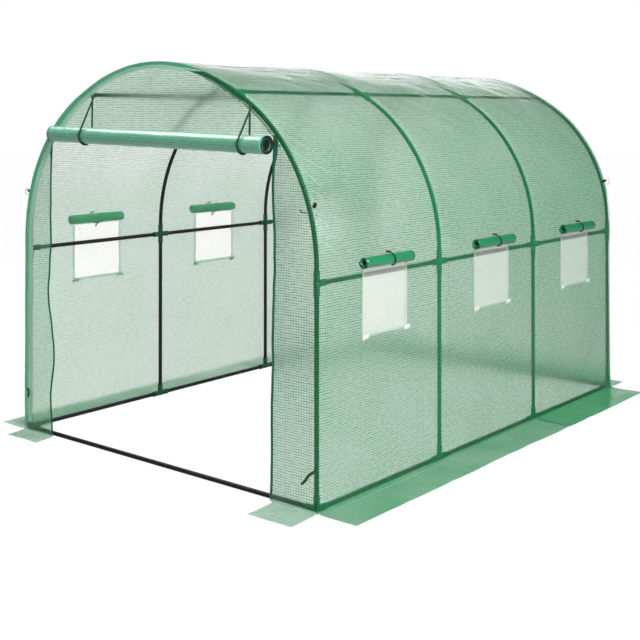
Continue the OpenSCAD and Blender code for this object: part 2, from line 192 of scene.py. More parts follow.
def tube_shade_and_dull_shine(tree, hide, shine):
    """Hide and shine of film over the frame. A triangle wave of the bay is 0 at each hoop, and there the
    film is rubbed dull. On the right side behind the front hoop, bands over the hoops and the rail are
    painted shade: solid green that hides more of the view where the tubes show dark through the film.
    The band on a hoop is set a little towards the front."""
    flat = node(tree, "SeparateXYZ", give=None, i0=node(tree, "UVMap", CLOTH)).outputs
    near = node(tree, "Math", ADD, i0=flat[0], i1=END_ROW)
    near = node(tree, "Math", PINGPONG, i0=near, i1=BAY / 2)
    shine = node(tree, "MapRange", Value=near, From_Min=0.010, From_Max=0.040, To_Min=0.15, To_Max=shine)
    rail = node(tree, "Math", SUBTRACT, i0=flat[1], i1=RAIL)
    rail = node(tree, "Math", ABSOLUTE, i0=rail)
    rail = node(tree, "MapRange", Value=rail, From_Min=0.008, From_Max=0.018, To_Min=0.16, To_Max=0.0)
    tube = node(tree, "Math", ADD, i0=flat[0], i1=END_ROW + 0.013)
    tube = node(tree, "Math", PINGPONG, i0=tube, i1=BAY / 2)
    tube = node(tree, "MapRange", Value=tube, From_Min=0.010, From_Max=0.018, To_Min=0.5, To_Max=0.0)
    # Painted shade: a darker band of solid green over the hoops and the rail, on the right side only
    painted_tube_shade = node(tree, "Math", MAXIMUM, i0=tube, i1=rail)
    behind = node(tree, "MapRange", Value=flat[0], From_Min=-1.30, From_Max=-1.20)
    painted_tube_shade = node(tree, "Math", MULTIPLY, i0=painted_tube_shade, i1=behind)
    right = node(tree, "MapRange", Value=flat[1], From_Min=2.3, From_Max=2.6, To_Min=1.0, To_Max=0.0)
    painted_tube_shade = node(tree, "Math", MULTIPLY, i0=painted_tube_shade, i1=right)
    return node(tree, "Mix", MIX_NUMBERS, i0=painted_tube_shade, i2=hide, i3=1.0), shine


def cover_film(name, tape, film, tape_hide, film_hide, shine=1.0, blur=0.68, even_hide=None, tube_shade_band=False):
    """See-through film: a clear hazy layer of the film's colour, hidden in part by solid green, which is
    mostly on the tapes. The hide values say how much of the view each takes away. The even-hide setting
    holds the places and shares for evening the net into one value, and with the frame setting the film gets
    painted shade bands over hoops and rail and a dull shine on the hoops."""
    material, tree, clear = finish(name)
    net, patch, bump = film_pattern(tree)
    hide = node(tree, "MapRange", Value=net, To_Min=film_hide, To_Max=tape_hide)
    hide = node(tree, "Math", MULTIPLY_CLAMPED, i0=hide, i1=patch)
    if even_hide:
        hide = evened_hide(tree, hide, *even_hide)
    if tube_shade_band:
        hide, shine = tube_shade_and_dull_shine(tree, hide, shine)
    coat = dict(Coat_Weight=shine, Coat_Roughness=0.11, Coat_IOR=1.5, Coat_Normal=bump, Normal=bump)
    wire(tree, clear, Base_Color=colour(film), Transmission_Weight=1.0, Roughness=blur, IOR=1.05, **coat)
    solid = node(tree, "BsdfPrincipled", give=None)
    wire(tree, solid, Base_Color=colour(tape), Roughness=0.5, Specular_IOR_Level=0.0, **coat)
    mix = node(tree, "MixShader", i0=hide, i1=clear.outputs[0], i2=solid.outputs[0])
    tree.links.new(mix, tree.nodes["Material Output"].inputs[0])
    return material


def rolled_film(name, tape, film, shine):
    """Many layers of the film on each other: no light comes through, and the net is a faint pattern."""
    material, tree, shader = finish(name)
    net, patch, bump = film_pattern(tree)
    part = node(tree, "Math", MULTIPLY_CLAMPED, i0=net, i1=patch)
    tint = node(tree, "Mix", MIX_COLOURS, give=2, i0=part, i6=colour(film), i7=colour(tape))
    wire(tree, shader, Base_Color=tint, Roughness=0.45, Normal=bump,
         Coat_Weight=shine, Coat_Roughness=0.12, Coat_IOR=1.5, Coat_Normal=bump)
    return material


# The left half of the cover has its net evened into one share of solid green from the left shoulder
# down. The rear wall is evened darker, most of all at its right side: painted shade for the dim backdrop
# behind it.
SHEET = cover_film("polyethylene_film_with_green_net", "#22905c", "#f6faf6", 0.78, 0.10, blur=0.6,
                   even_hide=(1, 3.5, 4.0, 0.0, 0.6, 0.49), tube_shade_band=True)
GABLE = cover_film("polyethylene_film_on_the_gable", "#229f5c", "#e8f7ee", 0.62, 0.0, blur=0.5)
PANEL = cover_film("polyethylene_film_beside_the_door", "#26855a", "#ecf9ef", 0.78, 0.0)
# Painted shade: the rear wall's film hides more of the view towards its right side
REAR = cover_film("polyethylene_film_with_painted_shade_on_the_rear", "#228f5a", "#f0f5f0", 0.80, 0.06,
                  even_hide=(0, -1.0, 1.0, 0.0, 0.75, 0.72))
FLAP = cover_film("folded_polyethylene_film", "#2f9463", "#f2f8f3", 0.82, 0.54, shine=0.5)
RIGHT_FLAP = cover_film("folded_polyethylene_film_in_two_lengths", "#34905f", "#f2f8f3", 0.82, 0.54,
                        shine=0.5, even_hide=(0, 0.475, 0.50, 0.0, 0.8, 0.93))
SLEEVES = [cover_film("doubled_polyethylene_film_on_the_hoop", "#4fae84", "#e0f0e6", 0.92, 0.82, shine=0.6),
           cover_film("doubled_polyethylene_film", "#a8dcc0", "#e8f4ec", 0.92, 0.78, shine=0.6)]
EDGE = cover_film("sewn_polyethylene_film", "#14703f", "#e2efe6", 0.9, 0.6, shine=0.4)
LAP = cover_film("lapped_polyethylene_film", "#1c6b45", "#dcebe0", 0.95, 0.85, shine=0.3)
GATHER = cover_film("gathered_polyethylene_film", "#19663f", "#dcebe0", 0.90, 0.45, shine=0.1)
# Pale film on the creases: a painted highlight along them
CREASE_HIGHLIGHT = cover_film("painted_highlight_on_creased_film", "#c4e0cd", "#f4faf5", 0.20, 0.10, shine=0.8)
ROLLED = rolled_film("rolled_polyethylene_film", "#3b8d6a", "#70b698", 1.0)
# The left rolls are a lighter copy of the same green film: painted light
WINDOW_FILMS = {1: rolled_film("rolled_green_film", "#12724a", "#1f9160", 0.8),
                -1: rolled_film("rolled_green_film_left_painted_lighter", "#1c8a5a", "#2fae78", 0.8)}
print("materials so far:", len(bpy.data.materials))

# %% [markdown]
# ## Tube, plastic, tape and cord finishes
# The tubes are thin steel with a baked dark green powder coat: a smooth satin skin with the faint
# orange-peel that powder leaves. The sockets are moulded polypropylene, a bit lighter and duller. The
# ties and zips are woven tape, the toggles black moulded plastic, and the window nets a fine pale gauze.

# %% Frame and trim finishes
def grained(name, base, dark, roughness, grain, bump_depth, weave=False):
    """An even solid finish: two close colours in a fine grain of the given size in metres, and its relief.
    weave adds slanting ribs to the relief."""
    material, tree, shader = finish(name)
    place = node(tree, "TexCoord", give="Object")
    fine = node(tree, "TexNoise", Vector=place, Scale=1 / grain, Detail=3.0)
    broad = node(tree, "TexNoise", Vector=place, Scale=6.0, Detail=2.0)
    mixed = node(tree, "Math", MULTIPLY, i0=fine, i1=broad)
    part = node(tree, "MapRange", Value=mixed, From_Min=0.12, From_Max=0.4)
    tint = node(tree, "Mix", MIX_COLOURS, give=2, i0=part, i6=colour(dark), i7=colour(base))
    rough = node(tree, "MapRange", Value=fine, To_Min=roughness - 0.08, To_Max=roughness + 0.08)
    if weave:
        ribs = node(tree, "TexWave", {"bands_direction": "DIAGONAL"}, give=1, Vector=place, Scale=0.4 / grain)
        fine = node(tree, "Math", ADD, i0=fine, i1=ribs)
    bump = node(tree, "Bump", Strength=0.4, Distance=bump_depth, Height=fine)
    wire(tree, shader, Base_Color=tint, Roughness=rough, Normal=bump, IOR=1.5, Specular_IOR_Level=0.35)
    return material


STEEL = grained("powder_coated_steel", "#02140d", "#010c08", 0.45, 0.0025, 0.0003)
PLASTIC = grained("moulded_polypropylene", "#0a5238", "#073f2b", 0.5, 0.0015, 0.0002)
# Dark ring at the ends of the door roll: painted shade on the turns seen end on
TURNS_SHADE = grained("painted_shade_on_the_turns_of_a_roll", "#07281c", "#041a12", 0.6, 0.0015, 0.0003)
CORD = grained("braided_polyester_cord", "#0f5235", "#0a3d27", 0.75, 0.0012, 0.0006, weave=True)
ZIP = grained("woven_zip_tape", "#1f7052", "#14543a", 0.7, 0.0015, 0.0006, weave=True)
# Black moulded plastic of the toggles, also used for the black disc in the door roll's hollow, which is
# painted shade
BLACK_PLASTIC_AND_CORE_SHADE = grained("black_moulded_plastic_and_painted_core_shade", "#141a17", "#0c110f", 0.45, 0.0012, 0.0002)
LOOP = grained("pale_elastic_loop", "#bcd6c3", "#a9c8b3", 0.8, 0.002, 0.0006, weave=True)
TAB = grained("white_woven_tape", "#dfe7df", "#c9d6cb", 0.8, 0.002, 0.0006, weave=True)
print("trim finishes:", [thing.name for thing in (STEEL, PLASTIC, TURNS_SHADE, CORD, ZIP, BLACK_PLASTIC_AND_CORE_SHADE, LOOP, TAB)])

# %% Insect net finish
def insect_net(name, thread, pitch, cover, gap_cover):
    """Fine gauze: threads every pitch, drawn coarse enough to show, with most of the holes left open."""
    material, tree, shader = finish(name)
    net = net_lines(tree, node(tree, "UVMap", CLOTH), (pitch, pitch), 0.15, 0.06, (1.0, 1.0))
    hide = node(tree, "MapRange", Value=net, To_Min=gap_cover, To_Max=cover)
    wire(tree, shader, Base_Color=colour(thread), Alpha=hide, Roughness=0.7, IOR=1.5)
    return material


# The left net is a whiter copy of the same gauze: painted light
NETS = {1: insect_net("fine_white_insect_net", "#e2e6df", 0.004, 0.52, 0.30),
        -1: insect_net("fine_white_insect_net_left_painted_lighter", "#fafaf6", 0.004, 0.34, 0.15)}
HEM = insect_net("clear_window_tape", "#dbe7dc", 0.006, 0.62, 0.40)
for name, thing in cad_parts.items():
    thing.data.materials.clear()
    thing.data.materials.append(PLASTIC if "sockets" in name else STEEL)
print("finishes on", len(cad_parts), "frame nodes")

# %% [markdown]
# ## Sheets as grids
# A sheet is a grid of points: rows along one direction, columns along the other, with a quad between
# each four neighbours. The whole grid is worked out as arrays and put into the mesh at once. The flat
# coordinates go in as a UV map, in metres, so that the net on the film keeps its real size.

# %% Grids and meshes
def spread(rows, cols):
    """The row place and the column place of every point of a grid, as two arrays."""
    return np.meshgrid(rows, cols, indexing="ij")


def points(*axes):
    """Puts coordinate arrays side by side, stretched to one shape."""
    return np.stack(np.broadcast_arrays(*axes), -1)


def lay(name, grid, material, cloth=None, holes=None, flip=False, round_rows=False, weld=False):
    """One mesh from a grid of points (rows, columns, 3). cloth is the flat place of each point in metres,
    holes marks quads to leave out, round_rows closes the columns into rings, weld merges poles."""
    rows, cols = grid.shape[:2]
    index = np.arange(rows * cols).reshape(rows, cols)
    if round_rows:
        index = np.concatenate([index, index[:, :1]], 1)
    quads = np.stack([index[:-1, :-1], index[1:, :-1], index[1:, 1:], index[:-1, 1:]], -1).reshape(-1, 4)
    if holes is not None:
        quads = quads[~holes.ravel()]
    if flip:
        quads = quads[:, ::-1]
    used, corners = np.unique(quads, return_inverse=True)
    mesh = bpy.data.meshes.new(name)
    mesh.vertices.add(len(used))
    mesh.vertices.foreach_set("co", grid.reshape(-1, 3)[used].astype(np.float32).ravel())
    mesh.loops.add(quads.size)
    mesh.loops.foreach_set("vertex_index", corners.ravel().astype(np.int32))
    mesh.polygons.add(len(quads))
    mesh.polygons.foreach_set("loop_start", np.arange(0, quads.size, 4, dtype=np.int32))
    mesh.polygons.foreach_set("use_smooth", np.ones(len(quads), dtype=bool))
    if cloth is not None:
        layer = mesh.uv_layers.new(name="cloth")
        layer.data.foreach_set("uv", cloth.reshape(-1, 2)[quads.ravel()].astype(np.float32).ravel())
    mesh.update(calc_edges=True)
    mesh.validate()
    if weld:
        work = bmesh.new()
        work.from_mesh(mesh)
        bmesh.ops.remove_doubles(work, verts=work.verts, dist=2e-5)
        bmesh.ops.recalc_face_normals(work, faces=work.faces)
        work.to_mesh(mesh)
        work.free()
    mesh.materials.append(material)
    piece = bpy.data.objects.new(name, mesh)
    bpy.context.scene.collection.objects.link(piece)
    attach(piece, "root")
    print(name, "has", len(quads), "quads")
    return piece


def join(name, parts):
    """Puts several fresh pieces into one mesh, each face with the finish it had."""
    finishes = list(dict.fromkeys(part.data.materials[0] for part in parts))
    work = bmesh.new()
    for part in parts:
        before = len(work.faces)
        work.from_mesh(part.data)
        work.faces.ensure_lookup_table()
        for face in work.faces[before:]:
            face.material_index = finishes.index(part.data.materials[0])
    mesh = bpy.data.meshes.new(name)
    work.to_mesh(mesh)
    work.free()
    for material in finishes:
        mesh.materials.append(material)
    for part in parts:
        bpy.data.objects.remove(part)
    piece = bpy.data.objects.new(name, mesh)
    bpy.context.scene.collection.objects.link(piece)
    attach(piece, "root")
    print(name, "joins", len(parts), "parts")
    return piece


# %% [markdown]
# ## Random heights, steps and cords
# Film is never even. Its waves and creases all come from one table of seeded random heights that is
# eased between its points, so they are the same in each run. A cord is a ring carried along a line.

# %% Heights, steps and cords
TABLE = 128


def hills(a, b, seed):
    """Smooth random heights from -1 to 1: a random value at each whole step of a and b, eased between."""
    table = np.random.default_rng(seed).uniform(-1, 1, (TABLE, TABLE))
    i, j = np.floor(a).astype(int), np.floor(b).astype(int)
    f, g = a - i, b - j
    f, g = f * f * (3 - 2 * f), g * g * (3 - 2 * g)
    i, j, next_i, next_j = i % TABLE, j % TABLE, (i + 1) % TABLE, (j + 1) % TABLE
    near = table[i, j] * (1 - f) + table[next_i, j] * f
    far = table[i, next_j] * (1 - f) + table[next_i, next_j] * f
    return near * (1 - g) + far * g


def bell(away, wide):
    """A smooth bump: 1 where away is 0, falling off to both sides over wide."""
    return np.exp(-(away / wide) ** 2)


def stops(*marks):
    """Points from mark to mark: marks are (place, steps to the next place), the last with no steps."""
    runs = [np.linspace(a[0], b[0], a[1], endpoint=False) for a, b in zip(marks[:-1], marks[1:])]
    return np.concatenate(runs + [[marks[-1][0]]])


def rope(name, path, radius, material, across):
    """A round cord: a ring of points carried along the path. across is a direction that the path never
    takes, so the ring turns with the path and never twists. The ends are drawn in to a point."""
    path = np.asarray(path, float)
    way = np.gradient(path, axis=0)
    way /= np.linalg.norm(way, axis=1, keepdims=True)
    side = np.cross(way, np.asarray(across, float))
    side /= np.linalg.norm(side, axis=1, keepdims=True)
    up = np.cross(side, way)
    ends = np.concatenate([[0], np.arange(len(path)), [len(path) - 1]])
    r = np.full(len(ends), radius)
    r[[0, -1]] = 0.0
    turn = np.linspace(0, 2 * np.pi, 8, endpoint=False)
    ring = side[ends, None] * np.cos(turn)[:, None] + up[ends, None] * np.sin(turn)[:, None]
    return lay(name, path[ends, None] + ring * r[:, None, None], material, round_rows=True, weld=True)


def bent(through):
    """A smooth line through points: Catmull-Rom pieces, each a cubic of four neighbours in 8 steps."""
    p = np.asarray(through, float)
    p = np.concatenate([[2 * p[0] - p[1]], p, [2 * p[-1] - p[-2]]])
    t = np.linspace(0, 1, 8, endpoint=False)[:, None]
    a, b, c, d = (p[k:len(p) - 3 + k, None] for k in range(4))
    square, cube = 2 * a - 5 * b + 4 * c - d, 3 * b - a - 3 * c + d
    line = 0.5 * (2 * b + (c - a) * t + square * t ** 2 + cube * t ** 3)
    return np.concatenate([line.reshape(-1, 3), p[-2:-1]])

# %% [markdown]
# ## The hoop's line
# Every sheet hangs on the hoops, so the line of a hoop is written once: an upright leg, a shoulder
# bend, a short straight at the roof socket, the crown bend, and the same again down the other side. A
# place on it is given by the length along the line from the ground on the right.

# %% Hoop line
LEG_X, SPRING, SHOULDER = 1.030, 1.060, 0.870
TURN, SOCKET_RUN = np.radians(62), 0.0675
CROWN = (LEG_X - SHOULDER + SHOULDER * np.cos(TURN) - SOCKET_RUN * np.sin(TURN)) / np.cos(TURN)
ROWS = BAY * np.array([-1.5, -0.5, 0.5, 1.5])
SKIN = 0.0166
FACE = END_ROW + SKIN
half_run = [SPRING, SHOULDER * TURN, SOCKET_RUN]
stretches = half_run + [CROWN * (np.pi - 2 * TURN)] + half_run[::-1]
# Where each stretch ends: ROOF is the end of the shoulder bend, BEND the start of the crown bend
marks = np.cumsum(stretches)
ROOF, BEND, LENGTH = marks[1], marks[2], marks[-1]
TOP = LENGTH / 2


def hoop(s, out=0.0):
    """Place (x, z) and outward direction at length s along the hoop, pushed out by out metres."""
    side = np.where(s <= TOP, 1.0, -1.0)
    t = TOP - np.abs(s - TOP)
    a = np.clip((t - SPRING) / SHOULDER, 0, TURN)
    b = np.clip((t - BEND) / CROWN, 0, np.pi / 2 - TURN)
    run = np.clip(t - ROOF, 0, SOCKET_RUN)
    x = LEG_X - SHOULDER + SHOULDER * np.cos(a) - run * np.sin(TURN)
    z = np.minimum(t, SPRING) + SHOULDER * np.sin(a) + run * np.cos(TURN)
    x = x + CROWN * (np.cos(TURN + b) - np.cos(TURN))
    z = z + CROWN * (np.sin(TURN + b) - np.sin(TURN))
    nx, nz = np.cos(a + b), np.sin(a + b)
    return side * (x + out * nx), z + out * nz, side * nx, nz


print("hoop line", round(LENGTH, 3), "m, top at", np.round(hoop(np.array(TOP))[1], 3))

# %% [markdown]
# ## Cover over the hoops
# One sheet goes from the ground on one side over the roof to the ground on the other. It is tight on
# the hoops, dips a little between them and puckers where it is pulled. The dip is a smooth hump in
# each bay that is held up where a tube runs along the tunnel. Creases are long random ridges: along
# the ridge at the top, slanting over the shoulders, and slack and broad on the walls. The six window
# holes fall on grid lines, so they are cut cleanly.

# %% Rows and columns of the cover
# Windows: sill and head of the right ones, half their width, and how much higher each side's are
SILL, HEAD, WIDE, RISE = 0.731, 1.037, 0.165, {1: 0.0, -1: 0.065}
left_sill = SILL + RISE[-1]
left_head = SPRING + SHOULDER * np.arcsin((HEAD + RISE[-1] - SPRING) / (SHOULDER + SKIN))
roof_stops = (ROOF, 6), (BEND, 60), (TOP,)
right_rows = stops((0.0, 40), (SILL, 16), (HEAD, 3), (SPRING, 56), *roof_stops)
left_rows = stops((0.0, 44), (left_sill, 16), (left_head, 56), *roof_stops)
rows = np.concatenate([right_rows, LENGTH - left_rows[-2::-1]])
bay_stops = [(y + step, 20) for y in ROWS[:3] for step in (0, BAY / 2 - WIDE, BAY / 2 + WIDE)]
cols = stops((-FACE, 1), *bay_stops, (END_ROW, 1), (FACE,))
print("cover grid", len(rows), "by", len(cols))

# %% Slack of the cover
def beside_hoops(y, reach, wide):
    """Bumps along the tunnel at a reach to both sides of each hoop."""
    return bell(np.abs(y - ROWS[:, None, None]) - reach, wide).sum(0)


def slack(s, y):
    """How far the sheet is off its line, outward positive: dips between tubes plus creases, and drawn in
    tight on each tube but not at its sockets. Folds above a window fan out from its tie, so they follow
    the angle round that point."""
    t = TOP - np.abs(s - TOP)
    bay = np.sin(np.clip((y + END_ROW) / BAY, 0, 3) * np.pi) ** 2
    crown = np.clip((t - ROOF) / (TOP - ROOF), 0, 1)
    shoulder = np.clip((t - RAIL) / (ROOF - RAIL), 0, 1)
    wall = np.clip(t / RAIL, 0, 1)
    dip = 0.013 * np.sin(crown * np.pi / 2) ** 2 + 0.007 * np.sin(shoulder * np.pi) ** 2
    dip = dip + 0.003 * np.sin(wall * np.pi) ** 2
    # Broad slack, and sharp creases along the ridge, slanting on the roof and crossed beside the hoops
    broad = 0.0034 * hills(s / 0.30, y / 0.22, 3) + 0.0016 * hills(s / 0.11, y / 0.10, 5)
    ridge = np.abs(hills(s / 0.055, y / 0.5 + s / 0.4, 7))
    slant = np.abs(hills((s + 0.7 * y) / 0.09, (s - y) / 0.6, 11))
    cross = np.abs(hills((s * np.sign(s - TOP) - 0.9 * y) / 0.06, s / 0.7, 17))
    roof = np.clip((t - SPRING) / 0.5, 0, 1)
    crease = 0.0150 * (0.5 - ridge) * crown ** 2 + 0.0030 * (0.5 - slant) * roof
    crease = crease + 0.0045 * (0.5 - cross) * roof * beside_hoops(y, 0.16, 0.12)
    # Short pleats on the hoops, deepest on the front shoulder
    front = 1 + 1.5 * bell(t - 1.38, 0.16) * (y < -1.2)
    pleat = np.abs(hills(s / 0.028, y / 0.06, 13)) * beside_hoops(y, 0, 0.055) * front
    aside = (y + END_ROW) % BAY - BAY / 2
    above = t - HEAD - np.where(s < TOP, RISE[1], RISE[-1]) - 0.01
    fan = np.cos(9 * np.arctan2(aside, np.maximum(above, 0.01)))
    fan = fan * bell(np.hypot(aside, above), 0.11) * (above > 0)
    tight = beside_hoops(y, 0, 0.022)
    for socket in (0.0, RAIL, ROOF + SOCKET_RUN / 2):
        tight = tight * (1 - np.exp(-((t - socket) / 0.075) ** 4))
    loose = (broad + crease) * (0.2 + 0.8 * bay) * (1 - 0.8 * tight)
    return loose - dip * bay - 0.0040 * tight + 0.0016 * pleat * (1 - tight) + 0.0026 * fan


# %% Cover over the hoops
def on_cover(s, y, lift):
    """Points at length s along the hoop and y along the tunnel, lifted off the cover's line."""
    x, z, nx, nz = hoop(s, SKIN)
    return points(x + lift * nx, y, z + lift * nz)


s, y = spread(rows, cols)
s_mid = (s[:-1, :-1] + s[1:, 1:]) / 2
y_mid = (y[:-1, :-1] + y[1:, 1:]) / 2
from_left = LENGTH - s_mid
holes = (s_mid > SILL) & (s_mid < HEAD) | (from_left > left_sill) & (from_left < left_head)
holes &= np.abs((y_mid + END_ROW) % BAY - BAY / 2) < WIDE
cover = lay("cover_over_hoops", on_cover(s, y, slack(s, y)), SHEET, points(y, s), holes, flip=True)
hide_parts(*[f"{side}_{part}_cover" for side in ("left", "right")
                     for part in ("wall", "lower_roof", "upper_roof", "crown")])
print("cover flat", round(2 * FACE, 2), "by", round(LENGTH, 2), "m")

# %% [markdown]
# ## Front gable, front panels and rear wall
# The ends are flat sheets that are cut to the hoop's outline and sewn to the cover. Each column of the
# gable runs from the seam over the doorway up to the outline, and each row of a front panel from the
# door's edge out to it. The free edges beside the doorway are slack and wave in and out.

# %% Outline of the ends
DOOR_HEAD, DOOR_HALF = 1.652, 0.798
SIDES = ((-1, "left"), (1, "right"))
out_x, out_z = hoop(np.linspace(0, TOP, 1200), SKIN)[:2]


def outline_height(x):
    """Height of the hoop outline over a place x, read off the finely stepped line."""
    return np.interp(np.abs(x), out_x[::-1], out_z[::-1])


def outline_width(z):
    """Half width of the hoop outline at a height z."""
    return np.interp(z, out_z, out_x)


def end_ripple(x, z, seed):
    """Small standing waves of a flat slack sheet, in metres towards the outside."""
    return 0.003 * hills(x / 0.25, z / 0.3, seed) + 0.0016 * hills((x + z) / 0.09, (x - z) / 0.4, seed + 1)


print("outline", round(2 * out_x.max(), 3), "m wide and", round(out_z.max(), 3), "m high")

# %% Front gable
u, v = spread(np.linspace(-1, 1, 121), np.linspace(0, 1, 36))
x = u * outline_width(DOOR_HEAD)
z = DOOR_HEAD + v * (outline_height(x) - DOOR_HEAD)
calm = np.clip(4 * (1 - v), 0, 1)
crease = 0.004 * np.exp(-np.abs(x - 0.008 * np.sin(z * 9)) / 0.012)
gable_points = points(x, -FACE - (end_ripple(x, z, 21) + crease) * calm, z)
gable = lay("front_gable_sheet", gable_points, GABLE, points(x, z))
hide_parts("front_gable")

# %% Front panels
# Bows of the left zip edge: the height of each, how far it reaches up and down, and its depth
LEFT_BOWS = [(0.97, 0.20, 0.016), (0.76, 0.13, 0.030), (0.44, 0.15, -0.022)]


def door_edge(z, side):
    """Half width of the doorway at a height: the slack zip edges wander, and hang towards the left."""
    wander = 0.006 * hills(z / 0.23 + 40 * (side > 0), 0.5, 31) + 0.003 * hills(z / 0.08, 0.5, 33 + side)
    if side > 0:
        return DOOR_HALF + wander - 0.004 - 0.016 * (1 - z / DOOR_HEAD)
    return DOOR_HALF + wander + 0.012 + sum(deep * bell(z - at, tall) for at, tall, deep in LEFT_BOWS)


def panel_wave(x, z, u, side):
    """Waves of a front panel towards the outside, strongest at its free edge, where u is 0."""
    free = 0.006 * hills(z / 0.2, 0.3, 45 + side) * (1 - u) ** 1.5
    return end_ripple(x, z, 41 + side) * (1 - u ** 3) + free


for side, label in SIDES:
    v, u = spread(np.linspace(0, 1, 150), np.linspace(0, 1, 18))
    z = v * DOOR_HEAD
    inner = door_edge(z, side)
    x = inner + u * (outline_width(z) - inner)
    panel = lay(f"front_{label}_sheet", points(side * x, -FACE - panel_wave(x, z, u, side), z),
                PANEL if side > 0 else GABLE, points(x, z), flip=side < 0)
    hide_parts(f"front_{label}_panel")

# %% [markdown]
# ## Sewn edge, gathers, sleeve and creases
# The front hoop carries the seam of three sheets, and each leaves its mark: a narrow doubled edge all
# round, a strip of pleats where the gable is gathered by its thread, and a wider doubled sleeve over
# the left shoulder. All are strips along the hoop's line, set just in front of the sheets.

# %% Sewn edge and gathers
EDGE_WIDE = 0.0115
along, w = spread(np.linspace(0.02, LENGTH - 0.02, 900), np.linspace(0, 1, 5))
in_by = w * EDGE_WIDE * (1 + 0.25 * hills(along / 0.018, 0.4, 58))
px, pz = hoop(along, SKIN + 0.001 - in_by)[:2]
pucker = 0.0025 * np.abs(hills(along / 0.015, in_by / 0.03, 55)) * np.clip(in_by / 0.01, 0.3, 1)
edge_hem = lay("front_sewn_edge", points(px, -FACE - 0.0016 - pucker, pz), EDGE,
               points(in_by, along), flip=True)

# The gathers stand inside the tube in short pleats, and run out thin towards the top
GATHER_START, GATHER_END, GATHER_WIDE = 1.64, TOP - 0.20, 0.012
along, w = spread(np.linspace(GATHER_START, GATHER_END, 560), np.linspace(0, 1, 7))
thin = np.clip((GATHER_END - along) / 0.22, 0.05, 1)
in_by = w * GATHER_WIDE * thin * (1 + 0.35 * hills(along / 0.009, 0.4, 59))
px, pz = hoop(along, SKIN - 0.020 - in_by)[:2]
pleat = 0.0040 * thin * np.abs(hills(along / 0.011, 0.2, 56)) * np.abs(np.sin(w * np.pi)) ** 0.7
gather = lay("gable_gathers", points(px, -FACE - 0.0045 - pleat, pz), GATHER,
             points(w * GATHER_WIDE, along), flip=True)

# %% Shoulder sleeve
# It is green where it lies on the tube and pale inside that, and widens over the crown and the shoulder
SLEEVE_START, GREEN_SHARE = TOP - 0.34, 0.45
along = np.linspace(SLEEVE_START, LENGTH - 0.05, 1000)[:, None]
reach = 0.004 + 0.024 * np.clip((along - SLEEVE_START) / 0.14, 0, 1)
reach = reach + 0.023 * np.clip((along - TOP - 0.2) / 0.6, 0, 1)
reach = 1.36 * reach * (1 + 0.06 * hills(along / 0.09, 0.3, 66))
halves = []
for material, start, end in zip(SLEEVES, (0.0, GREEN_SHARE), (GREEN_SHARE, 1.0)):
    w = np.linspace(start, end, 7)[None, :] * reach
    px, pz = hoop(along, SKIN + 0.0012 - w)[:2]
    fold = 0.0020 * np.abs(hills(along / 0.05, w / 0.012, 57))
    halves.append(lay("sleeve", points(px, -FACE - 0.0032 - fold, pz), material, points(w, along), flip=True))
sleeve = join("shoulder_sleeve", halves)

# %% Cover creases
# Creases run down and away from the hoops that pull the cover: tapered strips just proud of the sheet,
# in a pale film that is a painted highlight along each crease.
# Each is start and end along the tunnel, start and end along the hoop line, and its width
CREASES = [(-1.43, -1.28, 1.70, 1.57, 0.006), (-1.44, -1.24, 1.60, 1.47, 0.006),
           (-1.44, -1.34, 1.52, 1.41, 0.008), (-1.44, -1.31, 1.42, 1.33, 0.007),
           (-1.44, -1.36, 1.31, 1.22, 0.008), (-1.44, -1.35, 1.20, 1.14, 0.007),
           (-0.46, -0.24, 2.42, 2.24, 0.004), (0.51, 0.75, 2.40, 2.18, 0.004),
           (-0.52, -0.76, 2.40, 2.22, 0.004)]
t, w = spread(np.linspace(0, 1, 40), np.linspace(-0.5, 0.5, 5))
taper = 1.8 * np.abs(np.sin((t * 0.96 + 0.04) * np.pi)) ** 0.6
strips = []
for y0, y1, s0, s1, wide in CREASES:
    y = y0 + (y1 - y0) * t + 0.010 * hills(t * 3, 10 * s0, 62)
    s = s0 + (s1 - s0) * t + w * wide * taper
    proud = slack(s, y) + 0.0010 + 0.0022 * np.cos(w * np.pi)
    strips.append(lay("crease", on_cover(s, y, proud), CREASE_HIGHLIGHT, points(y, s), flip=True))
creases = join("cover_creases", strips)

# %% Rear wall
v, u = spread(np.linspace(0, 1, 121), np.linspace(-1, 1, 101))
x = u * outline_width(0.5)
z = v * outline_height(x)
calm = np.clip(5 * (1 - v), 0, 1) * (1 - u ** 8)
rear = lay("rear_wall_sheet", points(x, FACE + end_ripple(x, z, 51) * calm, z), REAR, points(x, z))
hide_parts("rear_wall")

# %% [markdown]
# ## Ground flaps
# The cover ends in flaps that lie on the ground, to be dug in or weighed down. They turn out of the
# wall in a small round, lie flat and lift a little in slow waves.

# %% Ground flaps
WALL, SIDE_FLAP, END_FLAP = LEG_X + SKIN, 0.215, 0.190
RIGHT_SEED = 61


def flap_rise(a, w, width, seed):
    """Height of a flap over the ground: a small round at the wall, slow waves, and a rippled free edge."""
    rise = 0.010 * np.exp(-w * width / 0.012) + 0.0012
    rise = rise + 0.007 * np.clip(hills(a / 0.33, w * 1.5, seed), 0, 1) * np.sin(w * np.pi * 0.6) ** 2
    return rise + 0.003 * np.clip(hills(a / 0.09, w * 2.0, seed + 1), 0, 1) * w


def flap(name, along, width, place, seed, node_name, material, flip):
    """A flap: along is its edge coordinate, width its reach. place maps (along, reach) to x and y."""
    a, w = spread(along, np.linspace(0, 1, 24))
    px, py = place(a, w * width)
    piece = lay(name, points(px, py, flap_rise(a, w, width, seed)), material, points(a, w * width), flip=flip)
    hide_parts(node_name)


